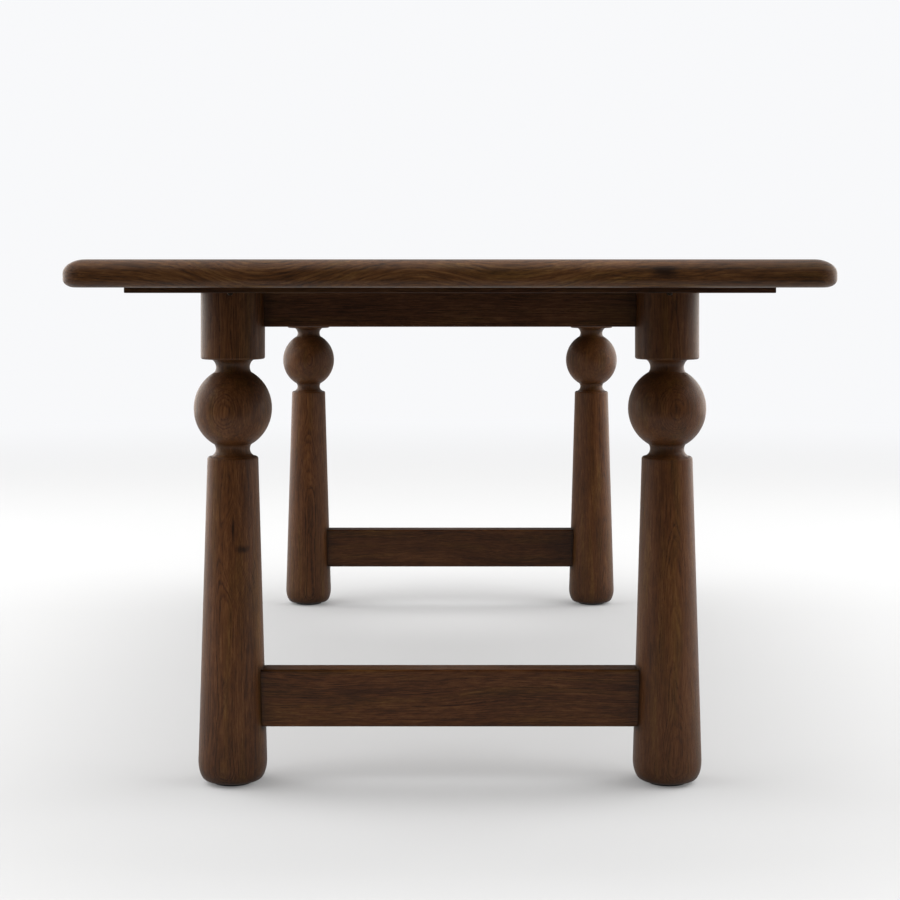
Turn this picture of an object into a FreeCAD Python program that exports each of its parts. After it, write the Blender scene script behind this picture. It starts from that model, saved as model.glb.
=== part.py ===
import FreeCAD, Part
import math
import os

# Dining table with a pair of turned ball legs at each end
#
# The two legs of a pair are joined by a rail under their heads and by a low stretcher.
# A thin batten lies across the heads, is screwed down into them and into the rail,
# and the top is screwed to it from below. The top is a row of planks held flat by a
# breadboard at each end.
#
# Millimetres. X runs across the table, Y along it and Z up. The origin is on the floor
# under the middle of the table.

# Whole table
table_length = 2134.0
table_width = 1016.0
table_height = 762.0
end_overhang = 318.5
side_overhang = 190.5

# Top: planks, breadboards and the soft edge that runs all round
top_thickness = 37.0
plank_count = 7
breadboard_width = 112.0
top_round_width = 29.5
top_round_height_share = 0.5
under_round_width = 16.0
under_round_height_share = 0.3
top_flat_corner_radius = 2.0

# Tongues on the planks and the groove that takes them
tongue_length = 28.0
tongue_thickness = 12.0
tongue_stop = 45.0
groove_end_room = 3.0
groove_bottom_room = 1.5

# Pegs that pin each breadboard through the tongues
peg_diameter = 8.0
peg_cover = 9.0
peg_travel = 3.0
peg_chamfer = 0.8

# Batten across each pair of legs
batten_setback = 42.0
batten_width = 130.0
batten_thickness = 10.0
batten_ease = 1.5

# Turned leg, from its head down
head_diameter = 93.6
head_length = 97.0
head_arris_radius = 3.0
upper_neck_length = 19.4
upper_neck_diameter = 49.6
upper_root_diameter = 64.5
ball_diameter = 114.0
ball_height = 119.6
ball_end_diameter = 54.0
lower_neck_length = 17.5
lower_neck_diameter = 50.2
lower_root_diameter = 65.5
shoulder_diameter = 74.4
shoulder_rim_radius = 4.0
foot_diameter = 100.2
foot_round_width = 12.0
foot_round_height = 27.5

# Rail under the heads and the stretcher near the floor
rail_height = 50.0
rail_thickness = 20.0
rail_ease = 2.0
rail_tenon_height = 34.0
rail_tenon_thickness = 10.0
rail_tenon_depth = 38.0
stretcher_level = 84.0
stretcher_height = 83.0
stretcher_thickness = 38.0
stretcher_ease = 3.5
stretcher_tenon_height = 57.0
stretcher_tenon_thickness = 16.0
stretcher_tenon_depth = 45.0

# Fits: the room left round a tongue, tenon, peg or screw, and beyond a tenon's end
fit_clearance = 0.15
glue_room = 1.5

# Pan-head screws that hold the top to the battens
pan_head_diameter = 8.0
pan_head_height = 3.4
pan_head_flat_share = 0.4
top_screw_diameter = 4.0
top_screw_length = 28.0
top_screw_inset = 2.5
top_screw_travel = 1.5

# Countersunk screws that hold the battens to the legs and rails
flat_head_diameter = 9.0
flat_head_height = 4.2
frame_screw_diameter = 4.5
frame_screw_length = 45.0
leg_screw_spacing = 48.0
rail_screw_distance = 71.5

# Glides under the feet
glide_diameter = 58.0
glide_thickness = 8.0
glide_reveal = 5.0
glide_chamfer = 1.0
glide_screw_head_diameter = 7.0
glide_screw_head_height = 2.0
glide_screw_head_recess = 0.6
glide_screw_diameter = 3.5
glide_screw_length = 22.0
screw_point_share = 0.2

# Overrun of the cutting shapes past the faces that they open
overrun = 5.0

# Levels and places that follow from the sizes above
underside_level = table_height - top_thickness
leg_top_level = underside_level - batten_thickness
rail_level = leg_top_level - rail_height
leg_offset_along = table_length / 2 - end_overhang
leg_offset_across = table_width / 2 - side_overhang
batten_length = table_width - 2 * batten_setback
plank_pitch = table_width / plank_count
plank_end = table_length / 2 - breadboard_width
top_corner_radius = top_round_width + top_flat_corner_radius
foot_level = glide_reveal
head_level = leg_top_level - head_length
ball_top_level = head_level - upper_neck_length
ball_span = ball_height * math.sqrt(1 - (ball_end_diameter / ball_diameter) ** 2)
ball_bottom_level = ball_top_level - ball_span
ball_centre_level = ball_top_level - ball_span / 2
shoulder_level = ball_bottom_level - lower_neck_length
foot_round_level = foot_level + foot_round_height
top_screw_offset = (head_diameter / 2 + batten_width / 2) / 2
top_screw_offset_across = leg_offset_across - top_screw_inset
rail_screw_spacing = leg_offset_across - head_diameter / 2 - rail_screw_distance

# Names of the ends and sides, with the direction in which each lies
ENDS = {"front": -1, "back": 1}
SIDES = {"left": -1, "right": 1}

Vector = FreeCAD.Vector
UP = Vector(0, 0, 1)
ACROSS = Vector(1, 0, 0)
ORIGIN = Vector(0, 0, 0)
FULL_TURN = 360
HALF_TURN = 180
QUARTER_TURN = 90


# Shapes in the XZ plane, where X is the distance from an axis or a middle line


def point(x, z):
    return Vector(x, 0, z)


def line(start, end):
    return Part.LineSegment(start, end).toShape()


def arc(start, middle, end):
    return Part.Arc(start, middle, end).toShape()


def round_arc(centre, radius, start_angle, end_angle):
    """Arc of a circle, its angles in degrees up from +X."""
    turns = [math.radians(turn) for turn in (start_angle, (start_angle + end_angle) / 2, end_angle)]
    points = [centre + point(radius * math.cos(turn), radius * math.sin(turn)) for turn in turns]
    return arc(*points)


def ellipse_arc(centre, half_width, half_height, start_angle, end_angle):
    """Arc of an upright or lying ellipse or of a circle, its angles in degrees up from +X."""
    if math.isclose(half_width, half_height):
        return round_arc(centre, half_width, start_angle, end_angle)
    side = centre + point(half_width, 0)
    top = centre + point(0, half_height)
    other_side = centre - point(half_width, 0)
    if half_width > half_height:
        ellipse = Part.Ellipse(side, top, centre)
        turn = 0
    else:
        ellipse = Part.Ellipse(top, other_side, centre)
        turn = QUARTER_TURN
    first = math.radians(start_angle - turn)
    last = math.radians(end_angle - turn)
    return Part.ArcOfEllipse(ellipse, first, last).toShape()


def face_of(edges):
    return Part.Face(Part.Wire(Part.__sortEdges__(edges)))


def polygon_face(points):
    return Part.Face(Part.makePolygon(points + points[:1]))


def turned(face):
    """Solid made by turning a face round the Z axis."""
    return face.revolve(ORIGIN, UP, FULL_TURN)


def centred_box(length, width, height, centre):
    corner = centre - Vector(length / 2, width / 2, height / 2)
    return Part.makeBox(length, width, height, corner)


def box_between(low, high):
    size = high - low
    return Part.makeBox(size.x, size.y, size.z, low)


def moved(shape, place):
    copy = shape.copy()
    copy.translate(place)
    return copy


def slot(diameter, travel, depth, base):
    """Upright hole that is longer along X by the travel on each side."""
    radius = diameter / 2
    ends = [Part.makeCylinder(radius, depth, base + ACROSS * side * travel) for side in (-1, 1)]
    middle = Part.makeBox(2 * travel, diameter, depth, base - Vector(travel, radius, 0))
    return ends[0].multiFuse([ends[1], middle]).removeSplitter()


# Top


def edge_section():
    """Section of the soft edge, from the corner's centre line out to the rim."""
    rim = top_corner_radius
    top_height = top_thickness * top_round_height_share
    under_height = top_thickness * under_round_height_share
    top_centre = point(rim - top_round_width, top_thickness - top_height)
    under_centre = point(rim - under_round_width, under_height)
    return face_of([
        line(point(0, 0), point(under_centre.x, 0)),
        ellipse_arc(under_centre, under_round_width, under_height, -QUARTER_TURN, 0),
        line(point(rim, under_height), point(rim, top_centre.z)),
        ellipse_arc(top_centre, top_round_width, top_height, 0, QUARTER_TURN),
        line(point(top_centre.x, top_thickness), point(0, top_thickness)),
        line(point(0, top_thickness), point(0, 0)),
    ])


def top_blank():
    """The whole top as one slab: a core, four soft edges and four soft corners."""
    section = edge_section()
    half_across = table_width / 2 - top_corner_radius
    half_along = table_length / 2 - top_corner_radius
    core = centred_box(2 * half_across, 2 * half_along, top_thickness, UP * (top_thickness / 2))
    pieces = []
    for quarter in range(4):
        reach, half_run = (half_across, half_along) if quarter % 2 == 0 else (half_along, half_across)
        edge = moved(section, Vector(reach, -half_run, 0)).extrude(Vector(0, 2 * half_run, 0))
        corner_centre = Vector(reach, half_run, 0)
        corner = moved(section, corner_centre).revolve(corner_centre, UP, QUARTER_TURN)
        for piece in (edge, corner):
            piece.rotate(ORIGIN, UP, QUARTER_TURN * quarter)
            pieces.append(piece)
    blank = core.multiFuse(pieces).removeSplitter()
    return moved(blank, UP * underside_level)


def tongue_zone(side_room, end_room, room):
    """Both tongues of the top as one bar, grown by the room given on each side."""
    half_across = table_width / 2 - tongue_stop + side_room
    half_along = plank_end + tongue_length + end_room
    thickness = tongue_thickness + 2 * room
    centre = UP * (underside_level + top_thickness / 2)
    return centred_box(2 * half_across, 2 * half_along, thickness, centre)


def peg_places(end):
    """One peg in the middle plank and one in the middle of each outer plank's tongue."""
    along = end * (plank_end + tongue_length / 2)
    middle = (plank_count // 2 + 0.5) * plank_pitch - table_width / 2
    outer = (table_width - plank_pitch - tongue_stop) / 2
    return [Vector(across, along, underside_level) for across in (-outer, middle, outer)]


def peg_length():
    return top_thickness - peg_cover


def peg_slots():
    """Holes through the tongues, long enough for the planks to swell and shrink."""
    diameter = peg_diameter + 2 * fit_clearance
    cuts = [slot(diameter, peg_travel, top_thickness, place) for end in ENDS.values() for place in peg_places(end)]
    return Part.makeCompound(cuts)


def top_screw_places(end):
    return [
        Vector(side * top_screw_offset_across, end * leg_offset_along + row * top_screw_offset, leg_top_level)
        for side in SIDES.values()
        for row in (-1, 1)
    ]


def top_screw_pilots():
    radius = top_screw_diameter / 2 + fit_clearance
    depth = top_screw_length + fit_clearance
    cuts = [Part.makeCylinder(radius, depth, place) for end in ENDS.values() for place in top_screw_places(end)]
    return Part.makeCompound(cuts)


def plank(blank, index):
    """One board of the top, full length, with a tongue at each end."""
    left = index * plank_pitch - table_width / 2
    low = Vector(left, -table_length / 2, underside_level)
    high = Vector(left + plank_pitch, table_length / 2, table_height)
    lane = box_between(low, high)
    body_zone = centred_box(table_width, 2 * plank_end, table_height, UP * table_height)
    body = blank.common(lane).common(body_zone)
    tongues = tongue_zone(0, 0, 0).common(lane)
    return body.fuse(tongues).removeSplitter().cut(peg_slots()).cut(top_screw_pilots())


def breadboard(blank, end):
    """Cross board that caps the planks, grooved for their tongues."""
    near = plank_end if end > 0 else -table_length / 2
    low = Vector(-table_width / 2, near, underside_level)
    high = Vector(table_width / 2, near + breadboard_width, table_height)
    board = blank.common(box_between(low, high))
    board = board.cut(tongue_zone(groove_end_room, groove_bottom_room, fit_clearance))
    radius = peg_diameter / 2 + fit_clearance
    holes = [Part.makeCylinder(radius, peg_length() + fit_clearance, place) for place in peg_places(end)]
    return board.cut(Part.makeCompound(holes))


def breadboard_pegs(end):
    """Wooden pins driven up through the board's lower cheek and the tongues."""
    radius = peg_diameter / 2
    section = polygon_face([
        point(0, 0),
        point(radius, 0),
        point(radius, peg_length() - peg_chamfer),
        point(radius - peg_chamfer, peg_length()),
        point(0, peg_length()),
    ])
    peg = turned(section)
    return Part.makeCompound([moved(peg, place) for place in peg_places(end)])


# Turned legs


def leg_radius(level):
    """Radius of the straight parts of the leg, the head and the long taper."""
    if level >= head_level:
        return head_diameter / 2
    share = (level - foot_round_level) / (shoulder_level - foot_round_level)
    return foot_diameter / 2 + share * (shoulder_diameter - foot_diameter) / 2


def leg_outline():
    """Outline of the turning: head, neck, ball, neck, shoulder, taper and rounded foot."""
    head = head_diameter / 2
    upper_root = point(upper_root_diameter / 2, head_level)
    upper_neck = point(upper_neck_diameter / 2, (head_level + ball_top_level) / 2)
    ball_top = point(ball_end_diameter / 2, ball_top_level)
    ball_bottom = point(ball_end_diameter / 2, ball_bottom_level)
    lower_neck = point(lower_neck_diameter / 2, (ball_bottom_level + shoulder_level) / 2)
    lower_root = point(lower_root_diameter / 2, shoulder_level)
    rim = shoulder_rim_radius
    shoulder = leg_radius(shoulder_level)
    head_arris_centre = point(head - head_arris_radius, head_level + head_arris_radius)
    rim_centre = point(shoulder - rim, shoulder_level - rim)
    foot = foot_diameter / 2
    foot_centre = point(foot - foot_round_width, foot_round_level)
    ball_angle = math.degrees(math.acos(ball_end_diameter / ball_diameter))
    return [
        line(point(0, leg_top_level), point(head, leg_top_level)),
        line(point(head, leg_top_level), point(head, head_arris_centre.z)),
        round_arc(head_arris_centre, head_arris_radius, -QUARTER_TURN, 0),
        line(point(head_arris_centre.x, head_level), upper_root),
        arc(upper_root, upper_neck, ball_top),
        ellipse_arc(point(0, ball_centre_level), ball_diameter / 2, ball_height / 2, -ball_angle, ball_angle),
        arc(ball_bottom, lower_neck, lower_root),
        line(lower_root, point(rim_centre.x, shoulder_level)),
        round_arc(rim_centre, rim, 0, QUARTER_TURN),
        line(point(shoulder, rim_centre.z), point(foot, foot_round_level)),
        ellipse_arc(foot_centre, foot_round_width, foot_round_height, -QUARTER_TURN, 0),
        line(point(foot_centre.x, foot_level), point(0, foot_level)),
        line(point(0, foot_level), point(0, leg_top_level)),
    ]


def mortise(level, thickness, height, depth):
    """Blind hole for a tenon, opening towards -X on the leg's round face."""
    radius = leg_radius(level)
    low = Vector(-radius - overrun, -thickness / 2 - fit_clearance, level - height / 2 - fit_clearance)
    high = Vector(depth + glue_room - radius, thickness / 2 + fit_clearance, level + height / 2 + fit_clearance)
    return box_between(low, high)


def glide_seat():
    """Shallow round recess in the foot, with the pilot hole of the glide's screw."""
    recess = glide_thickness - glide_reveal
    seat = Part.makeCylinder(glide_diameter / 2 + fit_clearance, recess + overrun, UP * (foot_level - overrun))
    pilot = Part.makeCylinder(glide_screw_diameter / 2 + fit_clearance, glide_screw_length, ORIGIN)
    return seat.fuse(pilot)


def leg_screw_places():
    return [Vector(0, row * leg_screw_spacing / 2, underside_level) for row in (-1, 1)]


def rail_middle_level():
    return rail_level + rail_height / 2


def stretcher_middle_level():
    return stretcher_level + stretcher_height / 2


def leg():
    """Right-hand leg on the Z axis, with its mortises facing the other leg."""
    body = turned(face_of(leg_outline()))
    cuts = [
        mortise(rail_middle_level(), rail_tenon_thickness, rail_tenon_height, rail_tenon_depth),
        mortise(
            stretcher_middle_level(), stretcher_tenon_thickness, stretcher_tenon_height, stretcher_tenon_depth
        ),
        glide_seat(),
    ]
    cuts += [frame_screw_hole(place) for place in leg_screw_places()]
    return body.cut(Part.makeCompound(cuts))


def leg_place(end, side):
    return Vector(side * leg_offset_across, end * leg_offset_along, 0)


def placed_at_leg(shape, end, side):
    """Copy of a right-hand shape at one of the four legs."""
    copy = shape.copy()
    if side < 0:
        copy.rotate(ORIGIN, UP, HALF_TURN)
    copy.translate(leg_place(end, side))
    return copy


# Rail and stretcher between the legs of a pair


def leg_face_cutter(low_level, high_level, side):
    """Solid that follows a leg's round face, to scribe the shoulders of a cross piece."""
    section = polygon_face([
        point(0, low_level),
        point(leg_radius(low_level) + fit_clearance, low_level),
        point(leg_radius(high_level) + fit_clearance, high_level),
        point(0, high_level),
    ])
    return moved(turned(section), Vector(side * leg_offset_across, 0, 0))


def eased_bar(length, thickness, height, level, ease, levels_eased):
    """Bar along X with its long arrises rounded on the levels named."""
    bar = centred_box(length, thickness, height, UP * (level + height / 2))
    edges = []
    for edge in bar.Edges:
        runs_along = abs(edge.tangentAt(edge.FirstParameter).x) > 0.5
        middle = edge.CenterOfMass.z
        if runs_along and any(math.isclose(middle, named) for named in levels_eased):
            edges.append(edge)
    return bar.makeFillet(ease, edges)


def cross_piece(bar, level, height, tenon_thickness, tenon_height, tenon_depth):
    """Bar scribed to both legs, with a tenon at each end."""
    for side in SIDES.values():
        bar = bar.cut(leg_face_cutter(level - overrun, level + height + overrun, side))
    middle = level + height / 2
    reach = leg_offset_across - leg_radius(middle) + tenon_depth
    tenons = centred_box(2 * reach, tenon_thickness, tenon_height, UP * middle)
    return bar.fuse(tenons).removeSplitter()


def rail_screw_places():
    """One screw in the middle and one at a set distance from each leg."""
    return [Vector(column * rail_screw_spacing, 0, underside_level) for column in (-1, 0, 1)]


def rail():
    """Rail under the battens, eased along its lower arrises."""
    length = 2 * leg_offset_across
    bar = eased_bar(length, rail_thickness, rail_height, rail_level, rail_ease, [rail_level])
    shape = cross_piece(
        bar, rail_level, rail_height, rail_tenon_thickness, rail_tenon_height, rail_tenon_depth
    )
    holes = [frame_screw_hole(place) for place in rail_screw_places()]
    return shape.cut(Part.makeCompound(holes))


def stretcher():
    """Low stretcher, eased along all four arrises."""
    arrises = [stretcher_level, stretcher_level + stretcher_height]
    length = 2 * leg_offset_across
    bar = eased_bar(
        length, stretcher_thickness, stretcher_height, stretcher_level, stretcher_ease, arrises
    )
    return cross_piece(
        bar,
        stretcher_level,
        stretcher_height,
        stretcher_tenon_thickness,
        stretcher_tenon_height,
        stretcher_tenon_depth,
    )


# Batten across the heads of a pair


def batten():
    """Flat board, eased round its lower face, drilled for both kinds of screw."""
    board = centred_box(batten_length, batten_width, batten_thickness, UP * (leg_top_level + batten_thickness / 2))
    lower_edges = [edge for edge in board.Edges if math.isclose(edge.CenterOfMass.z, leg_top_level)]
    board = board.makeFillet(batten_ease, lower_edges)
    cuts = [frame_screw_hole(place) for place in frame_screw_places()]
    for place in top_screw_places(0):
        base = place - UP * overrun
        depth = batten_thickness + 2 * overrun
        cuts.append(slot(top_screw_diameter + 2 * fit_clearance, top_screw_travel, depth, base))
    return board.cut(Part.makeCompound(cuts))


# Screws


def screw_shank(radius, start, end):
    """Outline points of a shank that starts under the head and ends in a point."""
    point_start = end + (start - end) * screw_point_share
    return [point(radius, start), point(radius, point_start), point(0, end)]


def flat_screw(across_head, head_height, diameter, length):
    """Countersunk screw pointing down, the top of its head at the origin."""
    points = [point(0, 0), point(across_head / 2, 0)]
    points += screw_shank(diameter / 2, -head_height, -length)
    return turned(polygon_face(points))


def pan_screw():
    """Pan-head screw pointing up, the underside of its head at the origin."""
    head = pan_head_diameter / 2
    flat = head * pan_head_flat_share
    root, point_start, tip = screw_shank(top_screw_diameter / 2, 0, top_screw_length)
    edges = [
        line(root, point(head, 0)),
        ellipse_arc(point(flat, 0), head - flat, pan_head_height, -QUARTER_TURN, 0),
        line(point(flat, -pan_head_height), point(0, -pan_head_height)),
        line(point(0, -pan_head_height), tip),
        line(tip, point_start),
        line(point_start, root),
    ]
    return turned(face_of(edges))


def frame_screw_hole(place):
    """Countersunk hole down from the top of a batten, with room round the screw."""
    head = flat_head_diameter / 2 + fit_clearance
    shank = frame_screw_diameter / 2 + fit_clearance
    depth = frame_screw_length + fit_clearance
    section = polygon_face([
        point(0, 0),
        point(head, 0),
        point(shank, -flat_head_height),
        point(shank, -depth),
        point(0, -depth),
    ])
    return moved(turned(section), place)


def frame_screw_places():
    """Places of the countersunk screws of one end, about the middle of its batten."""
    at_legs = [
        place + ACROSS * side * leg_offset_across for side in SIDES.values() for place in leg_screw_places()
    ]
    return at_legs + rail_screw_places()


def frame_screws(end):
    screw = flat_screw(flat_head_diameter, flat_head_height, frame_screw_diameter, frame_screw_length)
    along = Vector(0, end * leg_offset_along, 0)
    return Part.makeCompound([moved(screw, place + along) for place in frame_screw_places()])


def top_screws(end):
    screw = pan_screw()
    return Part.makeCompound([moved(screw, place) for place in top_screw_places(end)])


# Glides


def glide():
    """Round pad let into the foot, chamfered below and countersunk for its screw."""
    radius = glide_diameter / 2
    pad = polygon_face([
        point(0, 0),
        point(radius - glide_chamfer, 0),
        point(radius, glide_chamfer),
        point(radius, glide_thickness),
        point(0, glide_thickness),
    ])
    head = glide_screw_head_diameter / 2 + fit_clearance
    shank = glide_screw_diameter / 2 + fit_clearance
    recess = glide_screw_head_recess
    hole = polygon_face([
        point(0, -overrun),
        point(head, -overrun),
        point(head, recess),
        point(shank, recess + glide_screw_head_height),
        point(shank, glide_thickness + overrun),
        point(0, glide_thickness + overrun),
    ])
    return turned(pad).cut(turned(hole))


def glide_screws():
    screw = flat_screw(
        glide_screw_head_diameter, glide_screw_head_height, glide_screw_diameter,
        glide_screw_length - glide_screw_head_recess - fit_clearance,
    )
    screw.rotate(ORIGIN, ACROSS, HALF_TURN)
    screw.translate(UP * glide_screw_head_recess)
    return Part.makeCompound(
        [moved(screw, leg_place(end, side)) for end in ENDS.values() for side in SIDES.values()]
    )


# All the pieces by name


def pieces():
    blank = top_blank()
    found = {}
    for index in range(plank_count):
        found[f"top_plank_{index + 1}"] = plank(blank, index)
    leg_shape = leg()
    glide_shape = glide()
    for end_name, end in ENDS.items():
        along = Vector(0, end * leg_offset_along, 0)
        found[f"breadboard_{end_name}"] = breadboard(blank, end)
        found[f"breadboard_pegs_{end_name}"] = breadboard_pegs(end)
        found[f"batten_{end_name}"] = moved(batten(), along)
        found[f"rail_{end_name}"] = moved(rail(), along)
        found[f"stretcher_{end_name}"] = moved(stretcher(), along)
        found[f"frame_screws_{end_name}"] = frame_screws(end)
        found[f"top_screws_{end_name}"] = top_screws(end)
        for side_name, side in SIDES.items():
            found[f"leg_{end_name}_{side_name}"] = placed_at_leg(leg_shape, end, side)
            found[f"glide_{end_name}_{side_name}"] = placed_at_leg(glide_shape, end, side)
    found["glide_screws"] = glide_screws()
    return found


os.makedirs("parts", exist_ok=True)
for name, shape in pieces().items():
    shape.exportStep(f"parts/{name}.step")
    print(name, len(shape.Solids), "solids", round(shape.Volume), "cubic mm", shape.isValid())
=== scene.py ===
import math
import random

import bpy
from mathutils import Euler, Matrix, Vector


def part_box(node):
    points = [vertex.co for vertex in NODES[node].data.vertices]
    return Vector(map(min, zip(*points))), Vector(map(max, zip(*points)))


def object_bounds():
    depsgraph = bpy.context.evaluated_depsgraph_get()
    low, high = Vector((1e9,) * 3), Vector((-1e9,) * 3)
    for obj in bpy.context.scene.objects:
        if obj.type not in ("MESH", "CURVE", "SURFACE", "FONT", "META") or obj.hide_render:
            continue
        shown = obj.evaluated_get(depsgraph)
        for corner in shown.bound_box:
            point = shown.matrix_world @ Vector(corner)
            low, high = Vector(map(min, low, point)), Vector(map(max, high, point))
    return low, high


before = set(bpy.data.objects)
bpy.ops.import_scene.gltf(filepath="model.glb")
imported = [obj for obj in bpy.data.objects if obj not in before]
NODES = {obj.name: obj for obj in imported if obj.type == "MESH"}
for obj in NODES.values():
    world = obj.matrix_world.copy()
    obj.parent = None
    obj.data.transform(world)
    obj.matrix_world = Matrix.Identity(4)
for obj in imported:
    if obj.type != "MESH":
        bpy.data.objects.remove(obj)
cad_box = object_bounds()

# Dining table in dark fumed oak. Metres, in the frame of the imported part: X runs across the
# table, Y along it and Z up, with the floor at zero. The camera looks along +Y at one end.

# Camera, from the photograph's perspective
PICTURE_PIXELS = 900
FOCAL_PIXELS = 1911.5
HORIZON_ROW = 269.6
SENSOR_WIDTH = 36.0
CAMERA_HEIGHT = 0.7485
CAMERA_TO_LEG_AXES = 2.796
CAMERA_REACH = 200.0

# Directions of grain, as turns that carry local X onto the board's length
ALONG_X = (0.0, 0.0, 0.0)
ALONG_X_UPRIGHT = (math.pi / 2, 0.0, 0.0)
ALONG_Y = (0.0, 0.0, math.pi / 2)
ALONG_Z = (0.0, -math.pi / 2, 0.0)

# Colours of the oak, linear
OAK_PORE = (0.0165, 0.0060, 0.0018, 1.0)
OAK_DARK = (0.0390, 0.0144, 0.0036, 1.0)
OAK_MIDDLE = (0.0760, 0.0277, 0.0066, 1.0)
OAK_LIGHT = (0.1360, 0.0600, 0.0180, 1.0)

OAK_STOPS = ((0.0, OAK_PORE), (0.27, OAK_DARK), (0.52, OAK_MIDDLE), (0.88, OAK_LIGHT))
# Tints of the reddish and the golden parts of a board
OAK_TINTS = ((1.02, 0.96, 1.01, 1.0), (1.05, 1.12, 0.94, 1.0))
OAK_MIDDLE_STOP = 0.53
OAK_SPECULAR = 0.12
OAK_COAT = 0.12
OAK_COAT_ROUGHNESS = 0.25
OAK_BUMP_STRENGTH = 0.5
OAK_BUMP_DEPTH = 0.0003

# Layers of the grain: cells in a metre along and across it, detail, roughness and weight
GRAIN_LAYERS = {
    "fibres": (22.0, 760.0, 3.0, 0.65, 0.45),
    "strokes": (46.0, 420.0, 2.0, 0.60, 0.75),
    "streaks": (9.0, 230.0, 3.0, 0.60, 0.60),
    "bands": (4.0, 55.0, 2.0, 0.50, 0.45),
    "patches": (9.0, 26.0, 3.0, 0.50, 0.50),
}
# The finer marks: cells in a metre along and across the grain, and the part of the noise's
# range over which a mark comes up
DASH_CELLS = (60.0, 480.0)
DASH_RANGE = (0.42, 0.60)
PORE_CELLS = (190.0, 2300.0)
PORE_RANGE = (0.50, 0.62)
GOLD_CELLS = (5.0, 70.0)
GOLD_RANGE = (0.45, 0.75)
# Ragged outlines of knots and scars
RAGGED_CELLS = (90.0, 300.0)
RAGGED_REACH = (0.008, 0.004, 0.004)

# How porous early wood is between the dashes, and how much more in them
POROUS_LEAST = 0.25
POROUS_SWING = 0.75
# How strongly the pores show in late wood, and how much more in early wood
PITTED_LEAST = 0.15
PITTED_SWING = 0.55
# Roughness of the bare wood, and what its streaks and its pores add
ROUGHNESS_LEAST = 0.38
ROUGHNESS_STREAKS = 0.16
ROUGHNESS_PORES = 0.30
# Relief of the fibres, the pores and the porous early wood
RELIEF_FIBRES = 0.35
RELIEF_PORES = -1.0
RELIEF_POROUS = -0.35

# The log's bends: a slow wander and a quick ripple, by cells and by reach in metres
WANDER_CELLS = (2.6, 10.0)
WANDER_REACH = 0.034
RIPPLE_CELLS = (11.0, 38.0)
RIPPLE_REACH = 0.0044
# The second wave of the sway, by its pace, start and height against the first one's
SECOND_WAVE = (1.9, 1.1, 0.45)

# Growth rings: the swing of their spacing, the share of a year at which the early wood is
# widest and at which it ends, and the least strength and the swing of a year
RING_SPACING_CELLS = (1.5, 60.0)
RING_SPACING_SWING = 2.4
EARLY_PEAK = 0.22
EARLY_END = 0.80
YEAR_LEAST = 0.25
YEAR_SWING = 0.9
# The rings' bulge round a knot: its reach and its height in knot radii, and its shape
BULGE_REACH = 3.6
BULGE_HEIGHT = 1.6
BULGE_SHAPE = (0.45, 1.0, 1.0)
SCAR_REACH = 0.032
SCAR_SHAPE = (1.0, 0.5, 10.0)
KNOT_DARKENING = 0.55
# Place of a knot or a scar that a board doesn't have
FAR_AWAY = (90.0, 90.0, 90.0)

# How far the darkening at a joint reaches over the wood, and its level at the joint: painted
# shade in the crease where the legs meet the stretchers, and a dark joint line where the planks
# meet the breadboards
STRETCHER_CREASE_SHADE = (0.009, 0.30)
BREADBOARD_JOINT = (0.003, 0.45)


# Short calls that add nodes to a tree


def put(tree, socket, value):
    """Links an output to a socket, or writes a plain value on it."""
    if isinstance(value, bpy.types.NodeSocket):
        tree.links.new(value, socket)
    else:
        socket.default_value = value


def node(tree, kind, inputs=None, **settings):
    made = tree.nodes.new(kind)
    for name, value in settings.items():
        setattr(made, name, value)
    for key, value in (inputs or {}).items():
        put(tree, made.inputs[key], value)
    return made


def calc(tree, operation, *values):
    return node(tree, "ShaderNodeMath", dict(enumerate(values)), operation=operation).outputs[0]


def vector_calc(tree, operation, *values, output="Vector"):
    made = node(tree, "ShaderNodeVectorMath", dict(enumerate(values)), operation=operation)
    return made.outputs[output]


def noise(tree, vector, detail=2.0, roughness=0.5, output="Fac"):
    """Noise with one cell to each unit of the vector."""
    inputs = {"Vector": vector, "Scale": 1.0, "Detail": detail, "Roughness": roughness}
    return node(tree, "ShaderNodeTexNoise", inputs).outputs[output]


def stretched(tree, vector, along, across):
    """Point scaled to cells that are so many per metre along and across the grain."""
    return vector_calc(tree, "MULTIPLY", vector, (along, across, across))


def ranged(tree, value, low, high, to_low=0.0, to_high=1.0):
    inputs = {"Value": value, 1: low, 2: high, 3: to_low, 4: to_high}
    return node(tree, "ShaderNodeMapRange", inputs, interpolation_type="SMOOTHSTEP").outputs[0]


def ramp(tree, value, stops, interpolation="LINEAR"):
    made = node(tree, "ShaderNodeValToRGB", {"Fac": value})
    made.color_ramp.interpolation = interpolation
    elements = made.color_ramp.elements
    while len(elements) < len(stops):
        elements.new(0.5)
    for element, (place, colour) in zip(elements, stops):
        element.position = place
        element.color = colour
    return made.outputs["Color"]


def greys(levels):
    """Stops of a ramp that passes through so many greys at equal steps."""
    last = len(levels) - 1
    return [(place / last, (level, level, level, 1.0)) for place, level in enumerate(levels)]


def mixed(tree, share, first, second, blend="MIX"):
    made = node(tree, "ShaderNodeMix", data_type="RGBA", blend_type=blend)
    for name, value in (("Factor_Float", share), ("A_Color", first), ("B_Color", second)):
        put(tree, next(s for s in made.inputs if s.identifier == name), value)
    return next(s for s in made.outputs if s.identifier == "Result_Color")


# Oak: growth rings round a pith line, with pores, fibres, rays and an optional knot


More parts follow.
